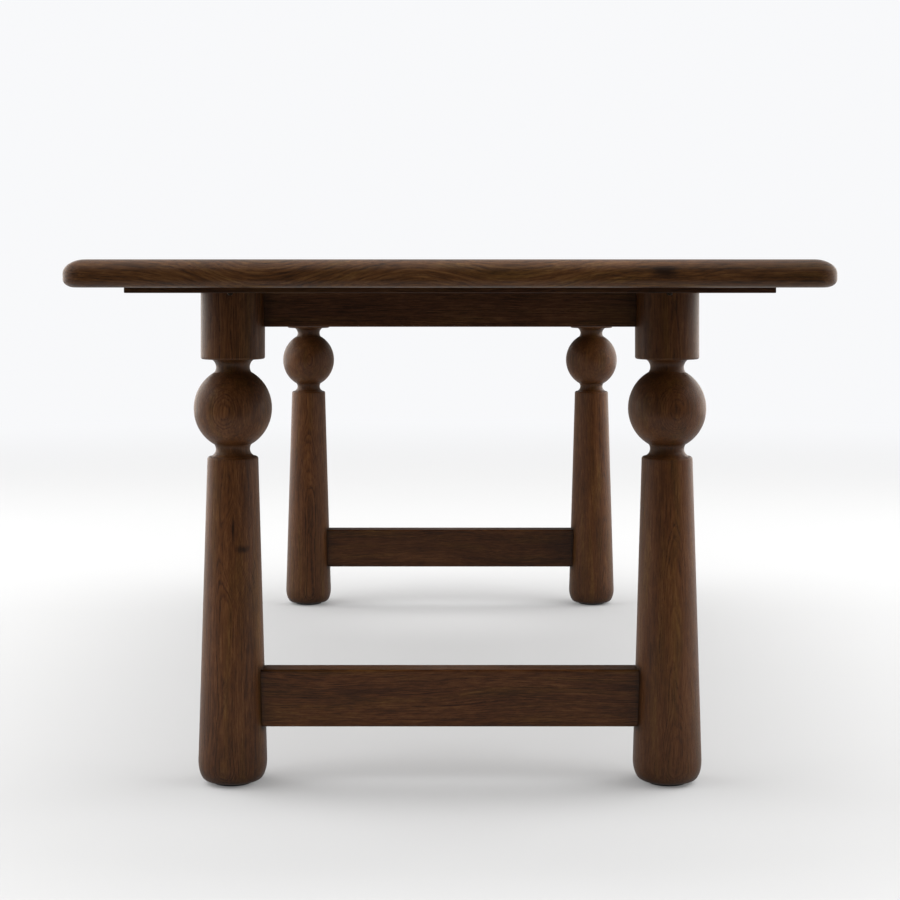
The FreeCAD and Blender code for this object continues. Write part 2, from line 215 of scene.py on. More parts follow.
OAK_INPUTS = {
    "Point": "NodeSocketVector",
    "Ring width": "NodeSocketFloat",
    "Sway": "NodeSocketFloat",
    "Sway length": "NodeSocketFloat",
    "Sway turn": "NodeSocketFloat",
    "Wander": "NodeSocketFloat",
    "Lift": "NodeSocketFloat",
    "Contrast": "NodeSocketFloat",
    "Rings": "NodeSocketFloat",
    "Stretch": "NodeSocketVector",
    "Knot": "NodeSocketVector",
    "Knot radius": "NodeSocketFloat",
    "Knot shape": "NodeSocketVector",
    "Scar": "NodeSocketVector",
    "Tone": "NodeSocketColor",
}
OAK_OUTPUTS = {
    "Color": "NodeSocketColor",
    "Roughness": "NodeSocketFloat",
    "Height": "NodeSocketFloat",
}


def spot(tree, point, place, reach, shape):
    """One at a place, falling to none at the reach, which the shape's numbers shorten by axis."""
    away = vector_calc(tree, "SUBTRACT", point, place)
    away = vector_calc(tree, "MULTIPLY", away, shape)
    away = vector_calc(tree, "LENGTH", away, output="Value")
    return ranged(tree, calc(tree, "DIVIDE", away, reach), 0.0, 1.0, 1.0, 0.0)


def oak_flow(tree, given):
    """Point that the board's point was at in the log before it swayed and wandered."""
    point = given["Point"]
    slow = noise(tree, stretched(tree, point, *WANDER_CELLS), detail=1.0, output="Color")
    quick = noise(tree, stretched(tree, point, *RIPPLE_CELLS), detail=1.0, output="Color")
    wander = calc(tree, "MULTIPLY", given["Wander"], WANDER_REACH)
    wander = node(tree, "ShaderNodeCombineXYZ", {"Y": wander, "Z": wander}).outputs[0]
    wander = vector_calc(tree, "MULTIPLY", centred(tree, slow), wander)
    ripple = vector_calc(tree, "MULTIPLY", centred(tree, quick), (0.0, RIPPLE_REACH, RIPPLE_REACH))
    along = node(tree, "ShaderNodeSeparateXYZ", {0: point}).outputs["X"]
    turn = calc(tree, "DIVIDE", along, given["Sway length"])
    turn = calc(tree, "MULTIPLY_ADD", turn, 2 * math.pi, given["Sway turn"])
    pace, begin, height = SECOND_WAVE
    faster = calc(tree, "MULTIPLY_ADD", turn, pace, begin)
    wave = calc(tree, "MULTIPLY_ADD", calc(tree, "SINE", faster), height, calc(tree, "SINE", turn))
    sway = calc(tree, "MULTIPLY_ADD", wave, given["Sway"], given["Lift"])
    sway = node(tree, "ShaderNodeCombineXYZ", {"Y": sway}).outputs[0]
    bent = vector_calc(tree, "ADD", vector_calc(tree, "ADD", point, wander), ripple)
    return vector_calc(tree, "ADD", bent, sway)


def centred(tree, colour):
    return vector_calc(tree, "SUBTRACT", colour, (0.5, 0.5, 0.5))


def oak_rings(tree, given, flow):
    """Share of early wood in the growth rings counted from the pith, stronger in some years."""
    across = vector_calc(tree, "MULTIPLY", flow, (0.0, 1.0, 1.0))
    distance = vector_calc(tree, "LENGTH", across, output="Value")
    reach = calc(tree, "MULTIPLY", given["Knot radius"], BULGE_REACH)
    bulge = spot(tree, given["Point"], given["Knot"], reach, BULGE_SHAPE)
    bulge = calc(tree, "MULTIPLY", bulge, given["Knot radius"])
    distance = calc(tree, "MULTIPLY_ADD", bulge, BULGE_HEIGHT, distance)
    rings = calc(tree, "DIVIDE", distance, given["Ring width"])
    spacing = noise(tree, stretched(tree, flow, *RING_SPACING_CELLS), detail=1.0)
    rings = calc(tree, "MULTIPLY_ADD", spacing, RING_SPACING_SWING, rings)
    count = {"W": calc(tree, "FLOOR", rings)}
    year = node(tree, "ShaderNodeTexWhiteNoise", count, noise_dimensions="1D").outputs["Value"]
    phase = calc(tree, "FRACT", rings)
    rise = ranged(tree, phase, 0.0, EARLY_PEAK)
    fall = ranged(tree, phase, EARLY_PEAK, EARLY_END, 1.0, 0.0)
    early = calc(tree, "MULTIPLY", rise, fall)
    return calc(tree, "MULTIPLY", early, calc(tree, "MULTIPLY_ADD", year, YEAR_SWING, YEAR_LEAST))


def oak_group():
    """Node group that turns a point in board coordinates into colour, roughness and height."""
    tree = bpy.data.node_groups.new("oak", "ShaderNodeTree")
    for name, kind in OAK_INPUTS.items():
        tree.interface.new_socket(name=name, in_out="INPUT", socket_type=kind)
    for name, kind in OAK_OUTPUTS.items():
        tree.interface.new_socket(name=name, in_out="OUTPUT", socket_type=kind)
    given = tree.nodes.new("NodeGroupInput").outputs
    flow = oak_flow(tree, given)
    early = oak_rings(tree, given, flow)

    drawn = vector_calc(tree, "MULTIPLY", flow, given["Stretch"])
    broad = vector_calc(tree, "MULTIPLY", given["Point"], given["Stretch"])
    layers, swing = {}, 0.0
    for name, (along, across, detail, roughness, weight) in GRAIN_LAYERS.items():
        cells = stretched(tree, broad if name == "patches" else drawn, along, across)
        layers[name] = noise(tree, cells, detail=detail, roughness=roughness)
        above = calc(tree, "SUBTRACT", layers[name], 0.5)
        swing = calc(tree, "MULTIPLY_ADD", above, weight, swing)
    dashes = noise(tree, stretched(tree, drawn, *DASH_CELLS), detail=2.0)
    dashes = ranged(tree, dashes, *DASH_RANGE)
    pores = noise(tree, stretched(tree, flow, *PORE_CELLS), detail=1.0)
    pores = ranged(tree, pores, *PORE_RANGE)
    ragged = noise(tree, stretched(tree, given["Point"], *RAGGED_CELLS), output="Color")
    ragged = vector_calc(tree, "MULTIPLY_ADD", centred(tree, ragged), RAGGED_REACH, given["Point"])
    heart = spot(tree, ragged, given["Knot"], given["Knot radius"], given["Knot shape"])
    scar = spot(tree, ragged, given["Scar"], SCAR_REACH, SCAR_SHAPE)

    porous = calc(tree, "MULTIPLY_ADD", dashes, POROUS_SWING, POROUS_LEAST)
    porous = calc(tree, "MULTIPLY", early, porous)
    light = calc(tree, "MULTIPLY_ADD", swing, given["Contrast"], OAK_MIDDLE_STOP)
    light = calc(tree, "SUBTRACT", light, calc(tree, "MULTIPLY", porous, given["Rings"]))
    marks = calc(tree, "MAXIMUM", heart, scar)
    light = calc(tree, "MULTIPLY_ADD", marks, -KNOT_DARKENING, light)
    colour = ramp(tree, light, OAK_STOPS)
    pitted = calc(tree, "MULTIPLY_ADD", early, PITTED_SWING, PITTED_LEAST)
    pitted = calc(tree, "MULTIPLY", pores, pitted)
    colour = mixed(tree, pitted, colour, OAK_PORE)
    gold = noise(tree, stretched(tree, drawn, *GOLD_CELLS), detail=1.0)
    tint = mixed(tree, ranged(tree, gold, *GOLD_RANGE), *OAK_TINTS)
    colour = vector_calc(tree, "MULTIPLY", colour, tint)
    colour = vector_calc(tree, "MULTIPLY", colour, given["Tone"])

    rough = calc(tree, "MULTIPLY_ADD", layers["streaks"], ROUGHNESS_STREAKS, ROUGHNESS_LEAST)
    rough = calc(tree, "MULTIPLY_ADD", pitted, ROUGHNESS_PORES, rough)
    relief = calc(tree, "MULTIPLY", layers["fibres"], RELIEF_FIBRES)
    height = calc(tree, "MULTIPLY_ADD", pitted, RELIEF_PORES, relief)
    height = calc(tree, "MULTIPLY_ADD", porous, RELIEF_POROUS, height)
    out = tree.nodes.new("NodeGroupOutput")
    for name, value in (("Color", colour), ("Roughness", rough), ("Height", height)):
        tree.links.new(value, out.inputs[name])
    return tree


def empty_material(name):
    """Material without nodes, and its tree."""
    made = bpy.data.materials.new(name)
    made.use_nodes = True
    made.node_tree.nodes.clear()
    return made, made.node_tree


def show(tree, surface, kind="ShaderNodeOutputMaterial"):
    """Links a shader to the output of its tree."""
    tree.links.new(surface.outputs[0], tree.nodes.new(kind).inputs["Surface"])


def surface_material(name):
    """Material with its tree and its shader."""
    made, tree = empty_material(name)
    shader = tree.nodes.new("ShaderNodeBsdfPrincipled")
    show(tree, shader)
    return made, tree, shader


def board_lift(tree, name, place, lift):
    """Sideways bend of the grain of a board that lies along X."""
    low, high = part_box(name)
    share = node(tree, "ShaderNodeSeparateXYZ", {0: place}).outputs["X"]
    share = calc(tree, "DIVIDE", calc(tree, "SUBTRACT", share, low.x), high.x - low.x)
    least, most = min(lift), max(lift)
    levels = [(value - least) / (most - least) for value in lift]
    bend = ramp(tree, share, greys(levels), "B_SPLINE")
    return calc(tree, "MULTIPLY_ADD", bend, least - most, -least)


def board_stain_and_painted_light(tree, place, axis, stops):
    """Levels of a board's tone that stand at so many metres along an axis of the part, for stains
    and for painted shade and highlights.
    """
    first, last = stops[0][0], stops[-1][0]
    share = node(tree, "ShaderNodeSeparateXYZ", {0: place}).outputs[axis]
    share = calc(tree, "DIVIDE", calc(tree, "SUBTRACT", share, first), last - first)
    levels = [((at - first) / (last - first), (level, level, level, 1.0)) for at, level in stops]
    return ramp(tree, share, levels)


def joint_line_and_crease_shade(tree, place, other, reach, joint_level, tone):
    """Tone of a board, which darkens towards the outline of another piece that it is joined to;
    it gives dark joint lines and painted shade in creases.
    """
    low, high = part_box(other)
    away = vector_calc(tree, "SUBTRACT", place, (low + high) / 2)
    away = vector_calc(tree, "SUBTRACT", vector_calc(tree, "ABSOLUTE", away), (high - low) / 2)
    away = node(tree, "ShaderNodeSeparateXYZ", {0: away}).outputs
    away = calc(tree, "MAXIMUM", calc(tree, "MAXIMUM", away[0], away[1]), away[2])
    level = ranged(tree, away, 0.0, reach, joint_level, 1.0)
    level = node(tree, "ShaderNodeCombineXYZ", {0: level, 1: level, 2: level}).outputs[0]
    return vector_calc(tree, "MULTIPLY", tone, level)


OAK_FIGURE = {
    "ring_width": 0.0026, "sway": 0.004, "sway_length": 0.5, "sway_turn": 0.0, "wander": 1.0,
    "contrast": 1.0, "rings": 0.25, "stretch": (1.0, 1.0, 1.0), "knot_radius": 0.01,
    "knot_shape": (1.5, 0.8, 0.8), "tone": 1.0, "hue": (1.0, 1.0, 1.0),
}


def oak_material(
    name, group, grain, pith, start, knot=None, scar=None, tilt=(0, 0, 0), lift=None, stains_and_painted_light=(),
    joints=(), **figure
):
    """Oak of one board, cut from a log whose pith passes through a point.

    The grain is the turn that carries X onto the board's length, the start says how far along
    the log the board was cut, a knot and a scar are points on the board, and the lift is a
    list of how far the grain bends sideways, at equal steps over the board's length. A stain
    is an axis of the part with the levels of the tone along it, which hold stains, painted shade
    and painted highlights, and a joint is a piece along whose outline the board is darker, which
    gives dark joint lines and painted shade in creases, with how far and how dark. The figure's
    values are those of OAK_FIGURE.
    """
    made, tree, shader = surface_material(name)
    turn = Euler(Vector(grain) + Vector(tilt))
    origin = Vector(pith) - turn.to_matrix() @ Vector((start, 0.0, 0.0))
    place = node(tree, "ShaderNodeTexCoord").outputs["Object"]
    inputs = {"Vector": place, "Location": origin, "Rotation": turn}
    local = node(tree, "ShaderNodeMapping", inputs, vector_type="TEXTURE").outputs[0]
    oak = tree.nodes.new("ShaderNodeGroup")
    oak.node_tree = group
    values = {**OAK_FIGURE, **figure}
    tone = values.pop("tone")
    values["tone"] = tuple(tone * part for part in values.pop("hue"))
    for key, spot_place in (("knot", knot), ("scar", scar)):
        inside = turn.to_matrix().inverted() @ (spot_place - origin) if spot_place else FAR_AWAY
        values[key] = inside
    if lift:
        values["lift"] = board_lift(tree, name, place, lift)
    for axis, stops in stains_and_painted_light:
        level = board_stain_and_painted_light(tree, place, axis, stops)
        values["tone"] = vector_calc(tree, "MULTIPLY", values["tone"], level)
    # Darkening towards joined pieces: painted shade in the stretchers' crease, dark joint lines at
    # the breadboards
    for other, (reach, joint_level) in joints:
        values["tone"] = joint_line_and_crease_shade(tree, place, other, reach, joint_level, values["tone"])
    if not stains_and_painted_light and not joints:
        # A colour that isn't linked has a fourth part
        values["tone"] += (1.0,)
    put(tree, oak.inputs["Point"], local)
    for key, value in values.items():
        put(tree, oak.inputs[key.replace("_", " ").capitalize()], value)
    finish(tree, shader, *oak.outputs, OAK_BUMP_STRENGTH, OAK_BUMP_DEPTH)
    shader.inputs["Specular IOR Level"].default_value = OAK_SPECULAR
    shader.inputs["Coat Weight"].default_value = OAK_COAT
    shader.inputs["Coat Roughness"].default_value = OAK_COAT_ROUGHNESS
    return made


def finish(tree, shader, colour, roughness, height, strength, depth):
    """Gives a shader its colour, its roughness and the bump of a height."""
    inputs = {"Strength": strength, "Distance": depth, "Height": height}
    bump = node(tree, "ShaderNodeBump", inputs).outputs[0]
    for name, value in (("Base Color", colour), ("Roughness", roughness), ("Normal", bump)):
        put(tree, shader.inputs[name], value)


def dress(name, material):
    """Gives a CAD node its material."""
    NODES[name].data.materials.clear()
    NODES[name].data.materials.append(material)


def middle(name):
    low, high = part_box(name)
    return (low + high) / 2


# Boards


# Tones and hues of the planks, from the left one to the right one
PLANK_TONES = (
    (0.80, (1.00, 1.03, 1.04)), (0.98, (0.97, 1.05, 1.05)), (0.71, (1.00, 1.00, 1.00)),
    (0.90, (0.97, 1.06, 1.06)), (0.76, (1.00, 1.01, 1.00)), (1.00, (0.98, 1.04, 1.04)),
    (0.84, (0.98, 1.05, 1.06)),
)
# Levels of the tone at distances from the seam between two planks
SEAM_STOPS = ((0.0, 0.25), (0.0010, 0.60), (0.0035, 1.0))
# How far a plank's outer side lies within the top's outline at the most
OUTER_SIDE = 0.01


def plank_stain(name):
    """Levels across a plank, which is dark in the seams to its neighbours."""
    low, high = (corner.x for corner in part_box(name))
    whole_low, whole_high = (corner.x for corner in cad_box)
    left_free = low < whole_low + OUTER_SIDE
    right_free = high > whole_high - OUTER_SIDE
    left = [(low + away, 1.0 if left_free else level) for away, level in SEAM_STOPS]
    right = [(high - away, 1.0 if right_free else level) for away, level in reversed(SEAM_STOPS)]
    return left + right


def dress_planks(group):
    draw = random.Random(11)
    names = sorted(n for n in NODES if n.startswith("top_plank_"))
    for name, (tone, hue) in zip(names, PLANK_TONES):
        pith = middle(name) + Vector((draw.uniform(-0.05, 0.05), 0.0, -draw.uniform(0.05, 0.12)))
        dress(name, oak_material(
            name, group, ALONG_Y, pith, draw.uniform(4, 40),
            tilt=(0.0, draw.uniform(-0.02, 0.02), draw.uniform(-0.015, 0.015)),
            tone=tone, hue=hue, stains_and_painted_light=[("X", plank_stain(name))],
            joints=[("breadboard_front", BREADBOARD_JOINT), ("breadboard_back", BREADBOARD_JOINT)],
            sway=draw.uniform(0.003, 0.008), sway_length=draw.uniform(0.5, 0.9),
            ring_width=draw.uniform(0.0030, 0.0044), contrast=0.80, rings=0.42, wander=0.45,
            stretch=(0.32, 1.0, 1.0),
        ))


# How far the grain of the near end rises, from its left end to its right end
END_GRAIN_LIFT = (
    0.003, 0.002, 0.000, -0.005, -0.012, -0.029, -0.044, -0.048, -0.040, -0.026, -0.013, 0.000,
    0.005, -0.003, -0.016, -0.020, -0.016, -0.008, 0.004, 0.013, 0.018, 0.016, 0.014, 0.014,
    0.015, 0.016, 0.016,
)
# Levels of the tone of the ends over their height: a painted highlight makes their upper arris
# paler
ARRIS_PAINTED_HIGHLIGHT = ((0.7535, 1.0), (0.7565, 1.28), (0.7600, 1.22), (0.7616, 1.0))
# Levels of the near end's tone across the table
END_TONE_ACROSS = (
    (-0.50, 0.92), (-0.30, 0.96), (0.00, 0.98), (0.10, 1.05), (0.27, 1.08), (0.35, 0.92),
    (0.50, 0.74),
)


def dress_breadboards(group):
    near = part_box("breadboard_front")[0].y
    pith = middle("breadboard_front") + Vector((0.0, 0.0, -0.13))
    pith.y = near + 0.01
    dress("breadboard_front", oak_material(
        "breadboard_front", group, ALONG_X_UPRIGHT, pith, 6.0,
        knot=Vector((0.278, near + 0.002, 0.7465)), knot_radius=0.012, knot_shape=(0.5, 1.0, 1.0),
        lift=END_GRAIN_LIFT, stains_and_painted_light=[("X", END_TONE_ACROSS), ("Z", ARRIS_PAINTED_HIGHLIGHT)], tone=0.84,
        hue=(0.97, 1.06, 1.02), contrast=1.08, sway=0.0, wander=0.2, ring_width=0.0052,
    ))
    pith = middle("breadboard_back") + Vector((0.0, -0.010, -0.060))
    dress("breadboard_back", oak_material(
        "breadboard_back", group, ALONG_X_UPRIGHT, pith, 13.0, stains_and_painted_light=[("Z", ARRIS_PAINTED_HIGHLIGHT)],
        tone=0.9, sway=0.007, sway_length=0.33,
    ))


# Levels of the tone along the stretchers and rails: painted shade where they meet the legs, and
# along the stretchers a tone that falls from left to right
STRETCHER_TONE_AND_SHADE = (
    (-0.2745, 0.55), (-0.2680, 0.92), (-0.2500, 1.08), (0.0000, 0.96), (0.2500, 0.86),
    (0.2680, 0.74), (0.2745, 0.42),
)
RAIL_PAINTED_SHADE = (
    (-0.2720, 0.55), (-0.2550, 0.88), (-0.2000, 1.00), (0.2000, 1.00), (0.2550, 0.88),
    (0.2720, 0.55),
)
# Tones of the front and the back piece, how far the pith lies behind and over their middle,
# hue and levels of the tone along the piece. The low tones of the rails and battens under the
# top, and of the back stretcher, are painted shade.
CROSS_PIECES = {
    "rail": (0.66, 0.60, 0.020, -0.110, (1.0, 1.0, 1.20), [("X", RAIL_PAINTED_SHADE)]),
    "stretcher": (0.86, 0.54, -0.045, 0.100, (0.98, 0.93, 0.86), [("X", STRETCHER_TONE_AND_SHADE)]),
    "batten": (0.47, 0.47, 0.010, -0.060, (1.0, 0.96, 1.0), ()),
}


def dress_cross_pieces(group):
    draw = random.Random(5)
    for kind, (front_tone, back_tone, behind, over, hue, stains_and_painted_light) in CROSS_PIECES.items():
        for end, tone in (("front", front_tone), ("back", back_tone)):
            name = f"{kind}_{end}"
            pith = middle(name) + Vector((0.0, behind, over))
            dress(name, oak_material(
                name, group, ALONG_X_UPRIGHT, pith, draw.uniform(4, 40),
                tilt=(0.0, draw.uniform(-0.01, 0.01), draw.uniform(-0.01, 0.01)),
                tone=tone, hue=hue, stains_and_painted_light=stains_and_painted_light,
                sway=0.003, sway_length=draw.uniform(0.4, 0.7), sway_turn=draw.uniform(0, 6),
            ))


# Place of each leg's pith, across and along the table from its axis, the leg's start along the
# log, and its figure
LEG_FIGURES = {
    "leg_front_left": ((-0.0143, -0.115), 7.0, {"contrast": 0.90, "rings": 0.32, "tone": 1.02}),
    "leg_front_right": ((0.0133, -0.108), 15.0, {"contrast": 0.72, "rings": 0.26, "tone": 0.96}),
    "leg_back_left": ((0.013, -0.105), 22.0, {"contrast": 0.80, "rings": 0.40, "tone": 0.94}),
    "leg_back_right": ((0.060, -0.080), 31.0, {"contrast": 0.85, "rings": 0.30, "tone": 0.96}),
}
# Levels of a leg's tone over its height: painted shade at the foot's bottom, in the grooves
# beside the ball, on the ball's top and over the head, and a little painted light on the cone
LEG_PAINTED_SHADE = (
    (0.005, 0.40), (0.014, 0.64), (0.034, 0.80), (0.090, 0.88), (0.170, 0.97), (0.260, 1.02),
    (0.360, 1.07), (0.465, 1.00), (0.474, 0.90), (0.480, 0.66), (0.492, 0.68), (0.502, 0.98),
    (0.545, 1.00), (0.575, 0.88), (0.593, 0.76), (0.603, 0.68), (0.616, 0.68), (0.622, 0.92),
    (0.660, 0.86), (0.715, 0.80),
)
# Marks on the ball of the near left leg, from the middle of the leg
LEG_KNOT_RADIUS = 0.0125
LEG_KNOT = Vector((0.0190, -0.0366, -0.0153))
LEG_SCAR = Vector((0.0047, -0.0409, 0.0117))


def dress_legs(group):
    for name, (pith, start, figure) in LEG_FIGURES.items():
        axis, end = middle(name), name.split("_")[1]
        marks = {}
        if name == "leg_front_left":
            marks = {
                "knot": axis + LEG_KNOT, "scar": axis + LEG_SCAR, "knot_radius": LEG_KNOT_RADIUS,
            }
        dress(name, oak_material(
            name, group, ALONG_Z, axis + Vector(pith + (0.0,)), start,
            # Painted shade and light over the leg's height, and painted shade in the crease with
            # the stretcher
            stains_and_painted_light=[("Z", LEG_PAINTED_SHADE)], joints=[(f"stretcher_{end}", STRETCHER_CREASE_SHADE)],
            sway=0.002, sway_length=0.55, wander=0.4, ring_width=0.0017, **figure, **marks,
        ))


def dress_pegs(group):
    for name in ("breadboard_pegs_front", "breadboard_pegs_back"):
        pith = middle(name) + Vector((0.02, 0.0, 0.0))
        dress(name, oak_material(name, group, ALONG_Z, pith, 4.0, tone=0.8))


# Metal and plastic


STEEL_STOPS = ((0.3, (0.009, 0.007, 0.005, 1.0)), (0.7, (0.022, 0.017, 0.013, 1.0)))
STEEL_PATCH_CELLS = (700.0, 700.0)
STEEL_SCRATCH_CELLS = (900.0, 9000.0)
# Least roughness, and how much the texture adds
STEEL_ROUGHNESS = (0.3, 0.3)
STEEL_BUMP_DEPTH = 0.00005
NYLON_STOPS = ((0.3, (0.008, 0.007, 0.006, 1.0)), (0.7, (0.016, 0.014, 0.012, 1.0)))
NYLON_CELLS = (2500.0, 2500.0)
NYLON_ROUGHNESS = (0.45, 0.2)
NYLON_BUMP_DEPTH = 0.00008
HARDWARE_BUMP_STRENGTH = 0.4


def steel_material():
    """Blackened steel, with fine scratches and duller patches."""
    made, tree, shader = surface_material("screw_steel")
    place = node(tree, "ShaderNodeTexCoord").outputs["Object"]
    patches = noise(tree, stretched(tree, place, *STEEL_PATCH_CELLS))
    scratches = noise(tree, stretched(tree, place, *STEEL_SCRATCH_CELLS))
    least, swing = STEEL_ROUGHNESS
    rough = calc(tree, "MULTIPLY_ADD", scratches, swing, least)
    colour = ramp(tree, patches, STEEL_STOPS)
    finish(tree, shader, colour, rough, scratches, HARDWARE_BUMP_STRENGTH, STEEL_BUMP_DEPTH)
    shader.inputs["Metallic"].default_value = 1.0
    return made


def nylon_material():
    """Dark moulded plastic with a fine grain."""
    made, tree, shader = surface_material("glide_nylon")
    place = node(tree, "ShaderNodeTexCoord").outputs["Object"]
    grain = noise(tree, stretched(tree, place, *NYLON_CELLS))
    least, swing = NYLON_ROUGHNESS
    rough = calc(tree, "MULTIPLY_ADD", grain, swing, least)
    colour = ramp(tree, grain, NYLON_STOPS)
    finish(tree, shader, colour, rough, grain, HARDWARE_BUMP_STRENGTH, NYLON_BUMP_DEPTH)
    return made


def dress_hardware():
    steel, nylon = steel_material(), nylon_material()
    for name in NODES:
        if "screws" in name:
            dress(name, steel)
        elif name.startswith("glide_"):
            dress(name, nylon)


# Studio


WHITE_ROOM = (0.940, 0.945, 0.960, 1.0)
# Levels of the light on the wood from the horizon up to the zenith
FRONT_LIGHT = (0.0, 0.10, 0.75, 0.8, 1.5)
BACK_LIGHT = (0.7, 1.1, 0.95, 2.0, 3.2)
# From the front light to the back light, along Y of the direction
FRONT_TO_BACK = (-0.5, 0.3)
# Level of the light that comes in low from both sides, and where it comes up towards the sides
# and ends over the horizon
SIDE_LIGHT = 1.9
SIDE_RISE = (0.5, 1.0)
SIDE_FALL = (0.1, 0.5)
FLOOR_SIZE = 60.0
FLOOR_COLOUR = (0.42, 0.42, 0.42, 1.0)
FLOOR_BOUNCE = (0.50, 0.50, 0.50, 1.0)
DARK_FLOOR = (0.15, 0.15, 0.15, 1.0)
# The floor fades into the white room between these distances from the middle of the table
FLOOR_FADE = (2.6, 6.0)
# Between these places in front of the table, its light on the wood rises from dark to full
FLOOR_BOUNCE_RISE = (-4.5, -1.2)
# Glow of the floor at equal steps along the table, and half the length that they cover
FLOOR_GLOW = (0.107, 0.135, 0.115, 0.12, 0.145)
FLOOR_GLOW_REACH = 1.25
# Painted pools of light on the floor, which lighten the table's shadow: place, how many of it
# there are in a metre by axis, and glow
FLOOR_LIGHT_POOLS = (
    ((0.0, -0.93, 0.0), (1.25, 3.8, 1.0), 0.08),
    ((0.0, 0.62, 0.0), (2.3, 2.6, 1.0), 0.115),
)
# Ends of a card, as places across and along the table, and where it rises to its full light
CARD_ENDS = ((3.80, -0.45), (1.8, 4.0))
CARD_TOP = 2.4
CARD_RISE = (-0.45, 0.35)
CARD_COLOUR = (3.6, 3.38, 3.17, 1.0)
CURTAIN_PLACE = -5.0
CURTAIN_SIZE = (30.0, 8.0)
CURTAIN_TRAIN = 3.0
CURTAIN_TRAIN_LIFT = 0.002
FAR_CURTAIN_PLACE = 4.4
FAR_CURTAIN_SIZE = (2.4, 2.0)
CURTAIN_COLOUR = (0.01, 0.01, 0.01, 1.0)
# Near end, far end and top of the flag
FLAG_SIZE = (-0.68, 2.60, 0.70)
FLAG_COLOUR = (0.78, 0.68, 0.61, 1.0)


def seen_or_lit(tree, shown, light):
    """One shader for camera, glossy and transmission rays, and another that lights the wood."""
    path = node(tree, "ShaderNodeLightPath").outputs
    seen = calc(tree, "MAXIMUM", path["Is Camera Ray"], path["Is Glossy Ray"])
    seen = calc(tree, "MAXIMUM", seen, path["Is Transmission Ray"])
    inputs = {0: seen, 1: light.outputs[0], 2: shown.outputs[0]}
    return node(tree, "ShaderNodeMixShader", inputs)


def build_world():
    """White room to look at, with a light that is weak from low in front and strong from above."""
    world = bpy.data.worlds.new("room")
    bpy.context.scene.world = world
    world.use_nodes = True
    tree = world.node_tree
    tree.nodes.clear()
    direction = node(tree, "ShaderNodeTexCoord").outputs["Generated"]
    parts = node(tree, "ShaderNodeSeparateXYZ", {0: direction}).outputs
    ahead = ramp(tree, parts["Z"], greys(FRONT_LIGHT))
    behind = ramp(tree, parts["Z"], greys(BACK_LIGHT))
    level = mixed(tree, ranged(tree, parts["Y"], *FRONT_TO_BACK), ahead, behind)
    aside = ranged(tree, calc(tree, "ABSOLUTE", parts["X"]), *SIDE_RISE, 0.0, SIDE_LIGHT)
    aside = calc(tree, "MULTIPLY", aside, ranged(tree, parts["Z"], *SIDE_FALL, 1.0, 0.0))
    level = vector_calc(tree, "ADD", level, aside)
    shown = node(tree, "ShaderNodeBackground", {"Color": WHITE_ROOM, "Strength": 1.0})
    light = node(tree, "ShaderNodeBackground", {"Color": level, "Strength": 1.0})
    show(tree, seen_or_lit(tree, shown, light), "ShaderNodeOutputWorld")


def floor_material():
    """Pale floor that keeps shadows, with painted pools of light that lighten the table's shadow,
    and that brightens into the white room with distance.
    """
    made, tree = empty_material("floor")
    place = node(tree, "ShaderNodeTexCoord").outputs["Object"]
    along = node(tree, "ShaderNodeSeparateXYZ", {0: place}).outputs["Y"]
    depth = calc(tree, "MULTIPLY_ADD", along, 0.5 / FLOOR_GLOW_REACH, 0.5)
    away = vector_calc(tree, "LENGTH", place, output="Value")
    glow = ramp(tree, depth, greys(FLOOR_GLOW))
    # Painted pools of light that lighten the table's shadow
    for middle_place, shape, strength in FLOOR_LIGHT_POOLS:
        patch = calc(tree, "MULTIPLY", spot(tree, place, middle_place, 1.0, shape), strength)
        glow = vector_calc(tree, "ADD", glow, patch)
    glow = mixed(tree, ranged(tree, away, *FLOOR_FADE), glow, WHITE_ROOM)
    keep = ranged(tree, away, *FLOOR_FADE, 1.0, 0.0)
    matte = ramp(tree, keep, [(0.0, (0.0, 0.0, 0.0, 1.0)), (1.0, FLOOR_COLOUR)])
    matte = node(tree, "ShaderNodeBsdfDiffuse", {"Color": matte})
    emission = node(tree, "ShaderNodeEmission", {"Color": glow})
    shown = node(tree, "ShaderNodeAddShader", {0: matte.outputs[0], 1: emission.outputs[0]})
    bounce = ranged(tree, along, *FLOOR_BOUNCE_RISE)
    bounce = ramp(tree, bounce, [(0.0, DARK_FLOOR), (1.0, FLOOR_BOUNCE)])
    bounce = node(tree, "ShaderNodeBsdfDiffuse", {"Color": bounce})
    show(tree, seen_or_lit(tree, shown, bounce))
    return made


def build_sheet(name, corners, material):
    """Flat stage piece with four corners."""
    mesh = bpy.data.meshes.new(name)
    mesh.from_pydata(corners, [], [(0, 1, 2, 3)])
    mesh.materials.append(material)
    sheet = bpy.data.objects.new(name, mesh)
    bpy.context.scene.collection.objects.link(sheet)
    return sheet


def build_floor():
    half = FLOOR_SIZE / 2
    corners = [(-half, -half, 0.0), (half, -half, 0.0), (half, half, 0.0), (-half, half, 0.0)]
    build_sheet("floor", corners, floor_material())


def glow_material(name, colour):
    made, tree = empty_material(name)
    show(tree, node(tree, "ShaderNodeEmission", {"Color": colour}))
    return made


def hanging(first, second, top):
    """Corners of an upright sheet between two places on the floor."""
    return [(*first, 0.0), (*second, 0.0), (*second, top), (*first, top)]


